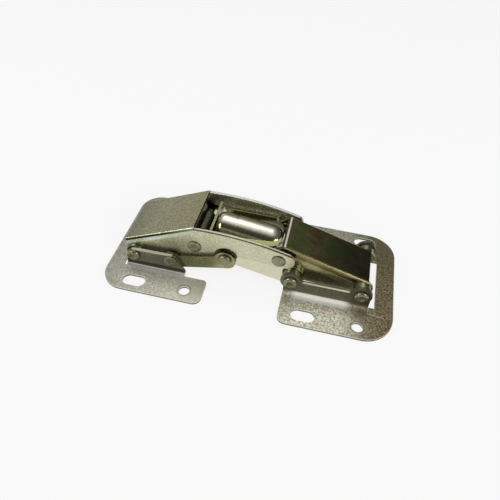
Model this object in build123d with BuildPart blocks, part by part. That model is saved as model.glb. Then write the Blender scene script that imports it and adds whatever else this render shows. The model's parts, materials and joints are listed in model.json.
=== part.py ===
from build123d import *
import os
from math import cos, hypot, radians, sin

os.makedirs("parts", exist_ok=True)

# Surface-mounted concealed hinge, drawn lying open and flat: both plates stand on Z = 0, X runs from
# the cabinet plate on the left to the door plate on the right, and Y = 0 is the plane of symmetry.
# All sizes are millimetres and all pivots are (X, Z) places with their axes along Y.

# Sheet and plates
arm_sheet = 1.0
plate_sheet = 1.0
overall_length = 89.45
plate_width = 43.4
cabinet_rim_width = 4.6
door_rim_width = 5.55
cabinet_foot_reach = 12.0
door_foot_reach = 1.95
cabinet_corner_radius = 7.0
door_corner_radius = 9.0
foot_corner_radius = 2.5
foot_inner_corner_radius = 1.2
cabinet_bend_radius = 0.35
door_bend_radius = 1.35
bend_relief = 0.8
bend_shear_gap = 0.2

# Screw holes
screw_row_from_edge = 3.8
screw_pitch = 16.2
screw_hole_radius = 1.75
screw_slot_width = 4.3
screw_slot_length = 7.3
cabinet_hole_inset = 5.75
door_hole_inset = 7.4

# Side layers, counted outwards from the plane of symmetry
inner_half_width = 6.0
side_play = 0.1

# Pivots of the seven-pin linkage with the hinge open
arm_root = (-36.5, 5.3)
link_root = (-24.5, 5.6)
link_tip = (-7.5, 9.8)
lever_root = (-17.2, 11.9)
knee = (8.5, 12.7)
lever_tip = (12.9, 6.0)
channel_tip = (34.3, 6.0)

# Rivets and pins
pin_radius = 1.35
pin_fit = 0.05
head_radius = 2.1
head_height = 1.2
low_head_height = 0.5
head_edge_radius = 0.3
peened_radius = 1.8
peened_height = 0.5
peened_edge_radius = 0.2
washer_radius = 2.6
washer_end_play = 0.05
inner_head_height = 0.6
collar_radius = 2.0

# Open pivots: how far the pin travels in its hole while the hinge folds
knee_drift = 1.15
link_drift = 0.85
drift_side = 0.37

# Outer channel, the arm with the closed cover at its left end
cover_left_end = (-39.6, 9.45)
cover_ridge = (-17.4, 19.5)
cover_bend_radius = 0.8
inner_bend_radius = 0.3
wall_crown = (-2.0, 18.2)
wall_shoulder_radius = 3.7
wall_nose_radius = 4.7
wall_chin_radius = 2.9
arm_root_lobe_radius = 2.9
lever_root_skirt_radius = 5.3
link_notch_radius = 3.8

# Inner channel, the arm on the door side
channel_front_top = (9.6, 16.56)
channel_right_top = (35.7, 8.53)
channel_bend_radius = 0.85
knee_lobe_radius = 3.5
channel_tip_lobe_radius = 3.0
lobe_gap = 0.3
pin_relief_gap = 0.65
flange_foot_drop = 1.8

# Lever with its pressed spring tunnel
lever_root_lobe_radius = 3.9
link_tip_lobe_radius = 3.3
lever_tip_lobe_radius = 3.7
lever_web_top = 14.6
lever_web_left = -11.3
lever_web_right = 4.7
lever_bend_radius = 1.1
tongue_right = 7.8
tongue_half_width = 5.6
tongue_corner_radius = 3.0
tunnel_radius = 5.3
tunnel_tilt = -8.0
tunnel_dome_centre = (4.2, 10.8)
tunnel_length = 11.1
tunnel_mouth_length = 16.3

# Spring, its cup and what it bears on, with places measured along the tunnel axis
cup_running_gap = 0.15
cup_wall = 0.6
cup_length = 9.4
cup_outer_radius = 5.1
cup_edge_radius = 2.4
cup_shoulder_gap = 0.15
pressure_plate_reach = 3.2
pressure_plate_thickness = 0.7
pressure_plate_above_axis = 4.4
pressure_plate_below_axis = 4.9
pressure_plate_half_width = 6.6
cam_gap = 0.1
cam_drop = 1.2
cam_sweep = 80.6
cam_steps = 8
cam_back_radius = 2.1
cam_crown_radius = 2.7
cam_half_length = 4.0
spring_wire_radius = 0.45
spring_turns = 8
spring_side_gap = 0.2
spring_first_turn = 1.65
seat_place = 0.6
seat_thickness = 1.0
seat_radius = 3.95

# Side links and ears
link_root_lobe_radius = 3.2
link_end_lobe_radius = 3.3
link_drop = 0.4
link_neck_above = 1.5
link_fillet = 1.2
cabinet_ear_lobe_radius = 2.1
cabinet_ear_end_gap = 1.05
cabinet_ear_past_pivot = 4.4
door_ear_lobe_radius = 3.1
door_ear_bar_top = 6.5
door_ear_end_gap = 2.05
door_slit_half_width = 9.9
ear_fillet = 1.5

# Layer faces that follow from the sheet and the play
inner_layer = (inner_half_width, inner_half_width + arm_sheet)
lever_layer = (inner_layer[1] + side_play, inner_layer[1] + side_play + arm_sheet)
wall_layer = (lever_layer[1] + side_play, lever_layer[1] + side_play + arm_sheet)
link_layer = (wall_layer[1] + side_play, wall_layer[1] + side_play + arm_sheet)
door_ear_layer = (link_layer[0], link_layer[0] + plate_sheet)
cabinet_ear_layer = (link_layer[1] + side_play, link_layer[1] + side_play + plate_sheet)
bore_radius = pin_radius + pin_fit
half_length = overall_length / 2
screw_row_half_spacing = plate_width / 2 - screw_row_from_edge
cabinet_bend_top = plate_sheet + cabinet_bend_radius
door_bend_top = plate_sheet + door_bend_radius


def around(centre, radius, angle):
    """Point on a circle round a pivot, its angle in degrees from +X towards +Z."""
    return (centre[0] + radius * cos(radians(angle)), centre[1] + radius * sin(radians(angle)))


def layer_plane(side, layer):
    """Drawing plane in X and Z from which one extrusion towards -Y fills a layer on one side."""
    y = layer[1] if side > 0 else -layer[0]
    return Plane(origin=(0, y, 0), x_dir=(1, 0, 0), z_dir=(0, -1, 0))


def thickness(layer):
    """Extent of a layer along Y."""
    return layer[1] - layer[0]


def keep(piece, name):
    """Label a finished piece and write it."""
    piece.label = name
    export_step(piece, f"parts/{name}.step")


def direction(start, end):
    """Unit vector from one pivot to another."""
    length = hypot(end[0] - start[0], end[1] - start[1])
    return ((end[0] - start[0]) / length, (end[1] - start[1]) / length)


def beside(point, along, distance):
    """Point moved square to a direction, to its left when the distance is positive."""
    return (point[0] - along[1] * distance, point[1] + along[0] * distance)


def height_over(corner, start, along):
    """Distance of a sketch corner from a line, counted to the line's left."""
    return (corner.Y - start[1]) * along[0] - (corner.X - start[0]) * along[1]


def bar_corners(start, end, below, above):
    """Corners of a straight bar between two pivots, with its edges at two offsets."""
    along = direction(start, end)
    return (
        beside(start, along, -below),
        beside(end, along, -below),
        beside(end, along, above),
        beside(start, along, above),
    )


def drifted(pivot, drift):
    """A pivot moved along Z."""
    return (pivot[0], pivot[1] + drift)


def channel_hollow(web_start, web_end, half_width, left, right, floor, ceiling, inner_bend):
    """Cutter under a sloping web: all between the flanges and below the web's inner face, and from
    the web's right end on all that stands above as well."""
    along = direction(web_start, web_end)
    start = beside(web_start, along, -arm_sheet)
    slope = along[1] / along[0]
    at_left = (left, start[1] + slope * (left - start[0]))
    at_end = (web_end[0], start[1] + slope * (web_end[0] - start[0]))
    with BuildPart() as cutter:
        with BuildSketch(Plane.XZ):
            with BuildLine():
                Polyline(
                    (left, floor), (right, floor), (right, ceiling), (web_end[0], ceiling), at_end, at_left,
                    close=True,
                )
            make_face()
        extrude(amount=half_width, both=True)
        web_length = hypot(at_end[0] - at_left[0], at_end[1] - at_left[1])
        under_web = cutter.edges().filter_by(lambda edge: abs(edge.length - web_length) < 0.001)
        fillet(under_web, inner_bend)
    return cutter.part


def sloping_edges(part, start, end, half_width):
    """The two long edges of a block that run from start to end at its sides."""
    middle = ((start[0] + end[0]) / 2, (start[1] + end[1]) / 2)
    return part.edges().filter_by(
        lambda edge: abs((edge @ 0.5).X - middle[0]) < 0.01
        and abs((edge @ 0.5).Z - middle[1]) < 0.01
        and abs(abs((edge @ 0.5).Y) - half_width) < 0.01
    )


# Outer channel: one stamping, a closed cover on the left and two open walls on the right
with BuildPart() as outer_channel:
    with BuildSketch(Plane.XZ):
        with BuildLine():
            ridge_foot = (cover_ridge[0], cover_ridge[1] - cover_bend_radius)
            shoulder = around(knee, wall_shoulder_radius, 50)
            chin = around(knee, wall_chin_radius, -60)
            notch_right = around(link_tip, link_notch_radius, 16)
            notch_left = around(link_tip, link_notch_radius, 180)
            skirt_left = around(lever_root, lever_root_skirt_radius, -95)
            root_bottom = around(arm_root, arm_root_lobe_radius, -80)
            root_left = around(arm_root, arm_root_lobe_radius, 180)
            Line(cover_left_end, cover_ridge)
            Line(cover_ridge, ridge_foot)
            ThreePointArc(ridge_foot, wall_crown, shoulder)
            ThreePointArc(shoulder, around(knee, wall_nose_radius, 0), chin)
            Line(chin, notch_right)
            ThreePointArc(notch_right, around(link_tip, link_notch_radius, 90), notch_left)
            ThreePointArc(notch_left, around(lever_root, lever_root_skirt_radius, -45), skirt_left)
            Line(skirt_left, root_bottom)
            ThreePointArc(root_bottom, around(arm_root, arm_root_lobe_radius, -135), root_left)
            Line(root_left, cover_left_end)
        make_face()
    extrude(amount=wall_layer[1], both=True)
    fillet(sloping_edges(outer_channel, cover_left_end, cover_ridge, wall_layer[1]), cover_bend_radius)
    add(
        channel_hollow(
            cover_left_end, cover_ridge, wall_layer[0], -half_length, half_length, 0, 2 * cover_ridge[1],
            inner_bend_radius,
        ),
        mode=Mode.SUBTRACT,
    )
    with BuildSketch(Plane.XZ):
        with Locations(lever_root, knee):
            Circle(pin_radius)
        with Locations(arm_root):
            Circle(bore_radius)
    extrude(amount=plate_width, both=True, mode=Mode.SUBTRACT)
keep(outer_channel.part, "outer_channel")

# Inner channel: a sloping top over two flanges that taper towards the door
with BuildPart() as inner_channel:
    with BuildSketch(Plane.XZ):
        with BuildLine():
            relief_radius = pin_radius + pin_relief_gap
            knee_left = around(knee, knee_lobe_radius, 175)
            knee_right = around(knee, knee_lobe_radius, -50)
            relief_left = around(lever_tip, relief_radius, 110)
            relief_right = around(lever_tip, relief_radius, 0)
            flange_foot = (relief_right[0], channel_tip[1] - flange_foot_drop)
            tip_bottom = around(channel_tip, channel_tip_lobe_radius, -100)
            tip_right = around(channel_tip, channel_tip_lobe_radius, 15)
            Line(channel_front_top, channel_right_top)
            Line(channel_right_top, tip_right)
            ThreePointArc(tip_right, around(channel_tip, channel_tip_lobe_radius, -40), tip_bottom)
            Line(tip_bottom, flange_foot)
            Line(flange_foot, relief_right)
            ThreePointArc(relief_right, around(lever_tip, relief_radius, 55), relief_left)
            Line(relief_left, knee_right)
            ThreePointArc(knee_right, around(knee, knee_lobe_radius, -120), knee_left)
            Line(knee_left, channel_front_top)
        make_face()
    extrude(amount=inner_layer[1], both=True)
    fillet(
        sloping_edges(inner_channel, channel_front_top, channel_right_top, inner_layer[1]),
        channel_bend_radius,
    )
    add(
        channel_hollow(
            channel_front_top, channel_right_top, inner_layer[0], 0, half_length, 0, 2 * cover_ridge[1],
            inner_bend_radius,
        ),
        mode=Mode.SUBTRACT,
    )
    with BuildSketch(Plane.XZ):
        with Locations(drifted(knee, -knee_drift / 2)):
            SlotCenterToCenter(knee_drift, 2 * (pin_radius + drift_side), rotation=90)
        with Locations(channel_tip):
            Circle(bore_radius)
    extrude(amount=plate_width, both=True, mode=Mode.SUBTRACT)
keep(inner_channel.part, "inner_channel")

# Spring tunnel: a long round bulge with a domed end, pressed up out of the lever's web
tunnel_plane = Plane(
    origin=(tunnel_dome_centre[0], 0, tunnel_dome_centre[1]),
    x_dir=(cos(radians(tunnel_tilt)), 0, sin(radians(tunnel_tilt))),
    z_dir=(0, -1, 0),
)
tunnel_axis = Axis(tunnel_plane.origin, tunnel_plane.x_dir)
tunnel_bore_radius = tunnel_radius - arm_sheet


def along_tunnel(point):
    """Place of a pivot measured along the tunnel axis from the dome's centre."""
    along = tunnel_plane.x_dir
    return (point[0] - tunnel_dome_centre[0]) * along.X + (point[1] - tunnel_dome_centre[1]) * along.Z


def capsule(radius, length):
    """Round bar along the tunnel axis with its right end a half ball."""
    with BuildPart() as bar:
        with BuildSketch(tunnel_plane):
            with BuildLine():
                Polyline((radius, 0), (-length, 0), (-length, radius), (0, radius))
                ThreePointArc((0, radius), around((0, 0), radius, 45), (radius, 0))
            make_face()
        revolve(axis=tunnel_axis)
    return bar.part


def tunnel_disc(start, end, radius):
    """Round bar between two places on the tunnel axis."""
    with BuildPart() as bar:
        with BuildSketch(tunnel_plane):
            with BuildLine():
                Polyline((start, 0), (end, 0), (end, radius), (start, radius), close=True)
            make_face()
        revolve(axis=tunnel_axis)
    return bar.part


with BuildPart() as tunnel:
    add(capsule(tunnel_radius, tunnel_length))
    split(bisect_by=Plane.XY.offset(lever_web_top - arm_sheet / 2))

# Lever: a channel with three pivots, and the tunnel in its web
with BuildPart() as spring_lever:
    with BuildSketch(Plane.XZ):
        with BuildLine():
            clear_knee = knee_lobe_radius + lobe_gap
            web_left = (lever_web_left, lever_web_top)
            web_right = (lever_web_right, lever_web_top)
            root_top = around(lever_root, lever_root_lobe_radius, 70)
            root_under = around(lever_root, lever_root_lobe_radius, -80)
            under_knee = around(knee, clear_knee, -95)
            knee_start = around(knee, clear_knee, 165)
            tip_top = around(lever_tip, lever_tip_lobe_radius, 110)
            tip_under = around(lever_tip, lever_tip_lobe_radius, -100)
            link_under = around(link_tip, link_tip_lobe_radius, -80)
            link_left = around(link_tip, link_tip_lobe_radius, -160)
            Line(root_top, web_left)
            Line(web_left, web_right)
            Line(web_right, knee_start)
            ThreePointArc(knee_start, around(knee, clear_knee, -160), under_knee)
            Line(under_knee, tip_top)
            ThreePointArc(tip_top, around(lever_tip, lever_tip_lobe_radius, 0), tip_under)
            Line(tip_under, link_under)
            ThreePointArc(link_under, around(link_tip, link_tip_lobe_radius, -120), link_left)
            Line(link_left, root_under)
            ThreePointArc(root_under, around(lever_root, lever_root_lobe_radius, 180), root_top)
        make_face()
    extrude(amount=lever_layer[1], both=True)
    fillet(sloping_edges(spring_lever, web_left, web_right, lever_layer[1]), lever_bend_radius)
    with BuildSketch(Plane.XZ):
        with BuildLine():
            Polyline(
                (-half_length, 0), (half_length, 0), (half_length, lever_web_top - arm_sheet),
                (lever_web_left, lever_web_top - arm_sheet), (lever_web_left, cover_ridge[1]),
                (-half_length, cover_ridge[1]), close=True,
            )
        make_face()
    extrude(amount=lever_layer[0], both=True, mode=Mode.SUBTRACT)
    with BuildSketch(Plane.XY.offset(lever_web_top)):
        with BuildLine():
            Polyline(
                (lever_web_left, -tongue_half_width), (tongue_right, -tongue_half_width),
                (tongue_right, tongue_half_width), (lever_web_left, tongue_half_width), close=True,
            )
        make_face()
        fillet(vertices().group_by(Axis.X)[-1], tongue_corner_radius)
    extrude(amount=-arm_sheet)
    add(tunnel.part)
    add(capsule(tunnel_bore_radius, tunnel_length), mode=Mode.SUBTRACT)
    mouth_radius = cup_outer_radius + cup_running_gap
    add(tunnel_disc(-tunnel_mouth_length, -tunnel_length, mouth_radius), mode=Mode.SUBTRACT)
    with BuildSketch(Plane.XZ):
        with Locations(drifted(link_tip, link_drift / 2)):
            SlotCenterToCenter(link_drift, 2 * (pin_radius + drift_side), rotation=90)
        with Locations(lever_root):
            Circle(bore_radius)
        with Locations(lever_tip):
            Circle(pin_radius)
    extrude(amount=plate_width, both=True, mode=Mode.SUBTRACT)
keep(spring_lever.part, "spring_lever")


def ear_bends(start, end, ear_layer, bend_radius):
    """Quarter-round bends that carry both ears of a plate up from its sheet."""
    fold_line = ear_layer[1] + bend_radius
    bend_top = plate_sheet + bend_radius
    centre = (fold_line, bend_top)
    with BuildPart() as bends:
        with BuildSketch(Plane.YZ.offset(start)):
            with BuildLine():
                Line((fold_line, 0), (fold_line, plate_sheet))
                ThreePointArc(
                    (fold_line, plate_sheet), around(centre, bend_radius, 225), (ear_layer[1], bend_top)
                )
                Line((ear_layer[1], bend_top), (ear_layer[0], bend_top))
                ThreePointArc((ear_layer[0], bend_top), around(centre, bend_top, 225), (fold_line, 0))
            make_face()
        extrude(amount=end - start)
        mirror(about=Plane.XZ)
    return bends.part


def screw_places(inner_end, inset, side):
    """Round hole and slot centres on one foot: the two feet of a plate have them crosswise."""
    towards = 1 if inner_end > 0 else -1
    first = inner_end + towards * inset
    second = first + towards * screw_pitch
    low, high = min(first, second), max(first, second)
    y = side * screw_row_half_spacing
    return ((high, y), (low, y)) if side < 0 else ((low, y), (high, y))


# Cabinet plate: a C-shaped sheet with two ears folded up from its window
cabinet_inner_end = link_root[0] + cabinet_foot_reach
cabinet_plate_length = half_length + cabinet_inner_end
cabinet_rim = cabinet_rim_width - half_length
cabinet_ear_left = cabinet_rim + cabinet_ear_end_gap
cabinet_ear_right = link_root[0] + cabinet_ear_past_pivot
cabinet_fold = cabinet_ear_layer[1] + cabinet_bend_radius
with BuildPart() as cabinet_plate:
    with BuildSketch():
        with Locations((cabinet_plate_length / 2 - half_length, 0)):
            Rectangle(cabinet_plate_length, plate_width)
        fillet(vertices().group_by(Axis.X)[0], cabinet_corner_radius)
        fillet(vertices().group_by(Axis.X)[-1], foot_corner_radius)
        with Locations((cabinet_rim, 0)):
            Rectangle(
                cabinet_ear_right - cabinet_rim, 2 * cabinet_fold,
                align=(Align.MIN, Align.CENTER), mode=Mode.SUBTRACT,
            )
            Rectangle(
                cabinet_ear_left - cabinet_rim, 2 * (cabinet_fold + bend_relief),
                align=(Align.MIN, Align.CENTER), mode=Mode.SUBTRACT,
            )
        with Locations((cabinet_ear_right, 0)):
            Rectangle(
                cabinet_plate_length, 2 * (cabinet_fold + bend_relief),
                align=(Align.MIN, Align.CENTER), mode=Mode.SUBTRACT,
            )
        inner_corners = vertices().filter_by(
            lambda corner: abs(corner.X - cabinet_inner_end) < 0.001
            and abs(abs(corner.Y) - cabinet_fold - bend_relief) < 0.001
        )
        fillet(inner_corners, foot_inner_corner_radius)
        for side in (-1, 1):
            round_hole, slot = screw_places(cabinet_inner_end, cabinet_hole_inset, side)
            with Locations(round_hole):
                Circle(screw_hole_radius, mode=Mode.SUBTRACT)
            with Locations(slot):
                SlotOverall(screw_slot_length, screw_slot_width, mode=Mode.SUBTRACT)
    extrude(amount=plate_sheet)
    add(ear_bends(cabinet_ear_left, cabinet_ear_right, cabinet_ear_layer, cabinet_bend_radius))
    for side in (-1, 1):
        with BuildSketch(layer_plane(side, cabinet_ear_layer)):
            with BuildLine():
                CenterArc(arm_root, cabinet_ear_lobe_radius, 0, 360)
                CenterArc(link_root, cabinet_ear_lobe_radius, 0, 360)
                Line((cabinet_ear_left, cabinet_bend_top), (cabinet_ear_right, cabinet_bend_top))
            make_hull()
            with Locations(arm_root, link_root):
                Circle(pin_radius, mode=Mode.SUBTRACT)
        extrude(amount=thickness(cabinet_ear_layer))
keep(cabinet_plate.part, "cabinet_plate")

# Door plate: the same sheet mirrored, with lower ears that rise to a lobe round each pivot
door_inner_end = lever_tip[0] - door_foot_reach
door_plate_length = half_length - door_inner_end
door_rim = half_length - door_rim_width
door_ear_right = door_rim - door_ear_end_gap
door_fold = door_ear_layer[1] + door_bend_radius
with BuildPart() as door_plate:
    with BuildSketch():
        with Locations((half_length - door_plate_length / 2, 0)):
            Rectangle(door_plate_length, plate_width)
        fillet(vertices().group_by(Axis.X)[-1], door_corner_radius)
        fillet(vertices().group_by(Axis.X)[0], foot_corner_radius)
        with Locations((door_rim, 0)):
            Rectangle(
                door_plate_length, 2 * door_slit_half_width, align=(Align.MAX, Align.CENTER),
                mode=Mode.SUBTRACT,
            )
        with Locations((door_ear_right + bend_shear_gap, 0)):
            Rectangle(
                door_plate_length, 2 * door_fold, align=(Align.MAX, Align.CENTER), mode=Mode.SUBTRACT,
            )
        for side in (-1, 1):
            round_hole, slot = screw_places(door_inner_end, door_hole_inset, side)
            with Locations(round_hole):
                Circle(screw_hole_radius, mode=Mode.SUBTRACT)
            with Locations(slot):
                SlotOverall(screw_slot_length, screw_slot_width, mode=Mode.SUBTRACT)
    extrude(amount=plate_sheet)
    add(ear_bends(door_inner_end, door_ear_right, door_ear_layer, door_bend_radius))
    for side in (-1, 1):
        with BuildSketch(layer_plane(side, door_ear_layer)):
            with BuildLine():
                Polyline(
                    (door_inner_end, door_bend_top), (door_ear_right, door_bend_top),
                    (door_ear_right, door_ear_bar_top), (door_inner_end, door_ear_bar_top), close=True,
                )
            make_face()
            with Locations(lever_tip, channel_tip):
                Circle(door_ear_lobe_radius)
            lobe_roots = vertices().filter_by(lambda corner: abs(corner.Y - door_ear_bar_top) < 0.001)
            fillet(lobe_roots, ear_fillet)
            with Locations(lever_tip):
                Circle(bore_radius, mode=Mode.SUBTRACT)
            with Locations(channel_tip):
                Circle(pin_radius, mode=Mode.SUBTRACT)
        extrude(amount=thickness(door_ear_layer))
keep(door_plate.part, "door_plate")


def side_link(side):
    """Short link with a lobe at each end and a neck cut from its upper edge."""
    root_lobe = drifted(link_root, -link_drop)
    tip_lobe = drifted(link_tip, -link_drop)
    along = direction(root_lobe, tip_lobe)
    with BuildPart() as link:
        with BuildSketch(layer_plane(side, link_layer)):
            with BuildLine():
                bar = bar_corners(root_lobe, tip_lobe, link_root_lobe_radius, link_neck_above)
                Polyline(*bar, close=True)
            make_face()
            with Locations(root_lobe):
                Circle(link_root_lobe_radius)
            with Locations(tip_lobe):
                Circle(link_end_lobe_radius)
            neck_ends = vertices().filter_by(
                lambda corner: abs(height_over(corner, root_lobe, along) - link_neck_above) < 0.001
            )
            fillet(neck_ends, link_fillet)
            with Locations(link_root):
                Circle(bore_radius, mode=Mode.SUBTRACT)
            with Locations(link_tip):
                Circle(pin_radius, mode=Mode.SUBTRACT)
        extrude(amount=thickness(link_layer))
    return link.part


def head_edges(part, side, y):
    """Circular edges of a pin that lie on the outer face of its head."""
    return part.edges().filter_by(GeomType.CIRCLE).filter_by(
        lambda edge: abs(edge.arc_center.Y - side * y) < 0.001
    )


def rivet(side, pivot, tail, seat, height, collar=None):
    """Rivet from its tail out to the head that sits on a seat, with an inner head when it ends
    inside the arms, and a thicker collar over one layer when it has one."""
    with BuildPart() as pin:
        with BuildSketch(layer_plane(side, (tail, seat))):
            with Locations(pivot):
                Circle(pin_radius)
        extrude(amount=seat - tail)
        with BuildSketch(layer_plane(side, (seat, seat + height))):
            with Locations(pivot):
                Circle(head_radius)
        extrude(amount=height)
        fillet(head_edges(pin, side, seat + height), head_edge_radius)
        if tail < lever_layer[0]:
            with BuildSketch(layer_plane(side, (tail, tail + inner_head_height))):
                with Locations(pivot):
                    Circle(head_radius)
            extrude(amount=inner_head_height)
        if collar:
            with BuildSketch(layer_plane(side, collar)):
                with Locations(pivot):
                    Circle(collar_radius)
            extrude(amount=thickness(collar))
    return pin.part


def cross_pin(pivot, seat, height):
    """Pin right across the hinge with a round head on its near end and a smaller peened far end."""
    with BuildPart() as pin:
        with BuildSketch(Plane.XZ):
            with Locations(pivot):
                Circle(pin_radius)
        extrude(amount=seat, both=True)
        with BuildSketch(layer_plane(-1, (seat, seat + height))):
            with Locations(pivot):
                Circle(head_radius)
        extrude(amount=height)
        fillet(head_edges(pin, -1, seat + height), head_edge_radius)
        with BuildSketch(layer_plane(1, (seat, seat + peened_height))):
            with Locations(pivot):
                Circle(peened_radius)
        extrude(amount=peened_height)
        fillet(head_edges(pin, 1, seat + peened_height), peened_edge_radius)
    return pin.part


def spacer(side, pivot, layer):
    """Washer that fills the space between two sheets, less its end play."""
    with BuildPart() as washer:
        with BuildSketch(layer_plane(side, (layer[0] + washer_end_play, layer[1] - washer_end_play))):
            with Locations(pivot):
                Circle(washer_radius)
                Circle(bore_radius, mode=Mode.SUBTRACT)
        extrude(amount=thickness(layer) - 2 * washer_end_play)
    return washer.part


# Cross pins: each is riveted fast in one part and runs in the other
keep(cross_pin(arm_root, cabinet_ear_layer[1], head_height), "arm_root_pin")
keep(cross_pin(lever_root, wall_layer[1], low_head_height), "lever_root_pin")
keep(cross_pin(lever_tip, door_ear_layer[1] + washer_end_play, head_height), "lever_tip_pin")
keep(cross_pin(channel_tip, door_ear_layer[1], head_height), "channel_tip_pin")

# Side links, short rivets and spacer washers, one of each on the near and on the far side
tail_depth = washer_end_play + inner_head_height
lever_collar = (lever_layer[1] + washer_end_play, link_layer[0])
channel_collar = (inner_layer[1] + washer_end_play, wall_layer[0])
for side, name in ((-1, "near"), (1, "far")):
    keep(side_link(side), f"side_link_{name}")
    root_rivet = rivet(side, link_root, link_layer[0], cabinet_ear_layer[1], low_head_height)
    keep(root_rivet, f"link_root_rivet_{name}")
    tip_rivet = rivet(
        side, link_tip, lever_layer[0] - tail_depth, link_layer[1], head_height, collar=lever_collar,
    )
    keep(tip_rivet, f"link_tip_rivet_{name}")
    knee_rivet = rivet(
        side, knee, inner_layer[0] - tail_depth, wall_layer[1], low_head_height, collar=channel_collar,
    )
    keep(knee_rivet, f"knee_rivet_{name}")
    keep(spacer(side, arm_root, (wall_layer[1], cabinet_ear_layer[0])), f"arm_root_washer_{name}")
    keep(spacer(side, lever_tip, (lever_layer[1], door_ear_layer[0])), f"lever_tip_washer_{name}")
    keep(spacer(side, channel_tip, (inner_layer[1], door_ear_layer[0])), f"channel_tip_washer_{name}")

# Cam fast on the lever's root pin: its reach falls evenly as the lever swings, so the plate that
# the spring holds against it moves in step with the fold
cam_reach = pressure_plate_reach - cam_gap
cam_rate = cam_drop / radians(cam_sweep)


def cam_point(angle):
    """Point of the cam's working face whose outward direction is at an angle from the plate's."""
    reach = cam_reach + cam_rate * radians(angle)
    facing = tunnel_tilt + angle
    touch = around(lever_root, reach, facing)
    return around(touch, cam_rate, facing + 90)


with BuildPart() as snap_cam:
    with BuildSketch(Plane.XZ):
        with BuildLine():
            face = [cam_point(-cam_sweep * step / cam_steps) for step in range(cam_steps + 1)]
            Spline(*face)
            crown = around(lever_root, cam_reach, tunnel_tilt + 80)
            heel = around(lever_root, cam_back_radius, tunnel_tilt + 180)
            TangentArc(face[0], crown, tangent=around((0, 0), 1, tunnel_tilt + 90))
            TangentArc(face[-1], heel, tangent=around((0, 0), 1, tunnel_tilt - cam_sweep - 90))
            ThreePointArc(heel, around(lever_root, cam_crown_radius, tunnel_tilt + 130), crown)
        make_face()
        with Locations(lever_root):
            Circle(pin_radius, mode=Mode.SUBTRACT)
    extrude(amount=cam_half_length, both=True)
keep(snap_cam.part, "snap_cam")

# Pressure plate square to the tunnel, between the lever's flanges
plate_left = along_tunnel(lever_root) + pressure_plate_reach
plate_right = plate_left + pressure_plate_thickness
with BuildPart() as pressure_plate:
    with BuildSketch(tunnel_plane):
        with BuildLine():
            Polyline(
                (plate_left, -pressure_plate_below_axis), (plate_right, -pressure_plate_below_axis),
                (plate_right, pressure_plate_above_axis), (plate_left, pressure_plate_above_axis), close=True,
            )
        make_face()
    extrude(amount=pressure_plate_half_width, both=True)
keep(pressure_plate.part, "pressure_plate")

# Spring cup: its rounded head lines up with the tunnel outside, and its sleeve runs in the tunnel
sleeve_radius = tunnel_bore_radius - cup_running_gap
sleeve_bore_radius = sleeve_radius - cup_wall
with BuildPart() as spring_cup:
    with BuildSketch(tunnel_plane):
        with BuildLine():
            cup_mouth = plate_right + cup_length
            shoulder = -tunnel_length - cup_shoulder_gap
            edge_centre = (plate_right + cup_edge_radius, cup_outer_radius - cup_edge_radius)
            edge_start = around(edge_centre, cup_edge_radius, 180)
            edge_end = around(edge_centre, cup_edge_radius, 90)
            floor_end = around(edge_centre, cup_edge_radius - cup_wall, 180)
            wall_start = around(edge_centre, cup_edge_radius - cup_wall, 90)
            Line((plate_right, 0), edge_start)
            ThreePointArc(edge_start, around(edge_centre, cup_edge_radius, 135), edge_end)
            Polyline(
                edge_end, (shoulder, cup_outer_radius), (shoulder, sleeve_radius), (cup_mouth, sleeve_radius),
                (cup_mouth, sleeve_bore_radius), (shoulder - cup_wall, sleeve_bore_radius),
                (shoulder - cup_wall, wall_start[1]), wall_start,
            )
            ThreePointArc(wall_start, around(edge_centre, cup_edge_radius - cup_wall, 135), floor_end)
            Polyline(floor_end, (plate_right + cup_wall, 0), (plate_right, 0))
        make_face()
    revolve(axis=tunnel_axis)
keep(spring_cup.part, "spring_cup")

# Spring seat: a disc that rests in the tunnel's domed end
spring_seat = tunnel_disc(seat_place, seat_place + seat_thickness, seat_radius)
keep(spring_seat, "spring_seat")

# Coil spring between the cup's floor and the seat
spring_radius = sleeve_bore_radius - spring_side_gap - spring_wire_radius
spring_start = plate_right + spring_first_turn
spring_length = seat_place - spring_start - spring_wire_radius
with BuildPart() as coil_spring:
    with BuildLine() as wire_line:
        Helix(
            pitch=spring_length / spring_turns, height=spring_length, radius=spring_radius,
            center=tunnel_plane.origin + tunnel_plane.x_dir * spring_start, direction=tunnel_plane.x_dir,
        )
    with BuildSketch(wire_line.line ^ 0):
        Circle(spring_wire_radius)
    sweep(path=wire_line.line, is_frenet=True)
keep(coil_spring.part, "coil_spring")
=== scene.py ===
import json
import math

import bpy
import numpy as np
from mathutils import Matrix, Vector


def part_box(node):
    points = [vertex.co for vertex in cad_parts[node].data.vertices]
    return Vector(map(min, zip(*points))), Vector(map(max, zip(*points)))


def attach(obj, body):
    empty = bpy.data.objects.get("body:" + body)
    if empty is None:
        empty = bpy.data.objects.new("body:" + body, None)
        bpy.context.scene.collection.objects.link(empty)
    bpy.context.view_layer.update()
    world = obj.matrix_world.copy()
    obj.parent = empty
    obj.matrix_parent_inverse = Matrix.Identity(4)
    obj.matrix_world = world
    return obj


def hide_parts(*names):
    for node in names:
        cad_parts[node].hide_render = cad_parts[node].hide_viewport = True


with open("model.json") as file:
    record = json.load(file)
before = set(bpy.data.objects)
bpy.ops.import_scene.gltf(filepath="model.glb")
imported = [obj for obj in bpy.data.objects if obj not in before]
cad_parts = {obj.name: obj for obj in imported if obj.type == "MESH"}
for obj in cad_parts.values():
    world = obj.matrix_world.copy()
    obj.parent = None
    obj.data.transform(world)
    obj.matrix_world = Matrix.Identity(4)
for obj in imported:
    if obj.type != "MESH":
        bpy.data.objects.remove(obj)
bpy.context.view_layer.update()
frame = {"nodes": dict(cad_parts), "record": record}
scene = bpy.context.scene
scene.view_settings.view_transform = "Standard"
mm = 0.001
print("frame loaded,", len(frame["nodes"]), "nodes")


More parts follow.
